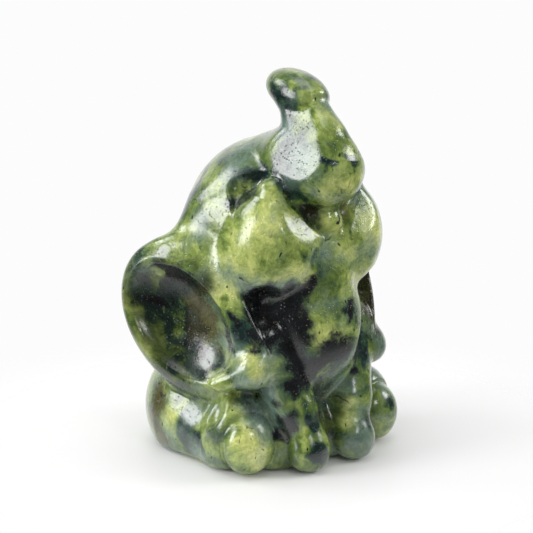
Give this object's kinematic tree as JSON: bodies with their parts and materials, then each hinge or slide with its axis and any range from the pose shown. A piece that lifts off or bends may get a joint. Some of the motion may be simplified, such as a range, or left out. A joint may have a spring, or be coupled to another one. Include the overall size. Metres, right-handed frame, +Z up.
{
  "type": "jade elephant figurine",
  "caption": "Small polished jade carving of a seated elephant, trunk raised over its brow, with round dished ears, on a flat underside.",
  "frame": {"origin": "on the flat underside, midway between the ears and under the belly", "axes": "+Z up through the raised trunk, -Y the way the elephant faces, +X to its left"},
  "size_m": [0.0432, 0.0391, 0.0615],
  "materials": {
    "jade": "polished"
  },
  "bodies": {
    "root": {"elephant": "jade"}
  },
  "joints": []
}
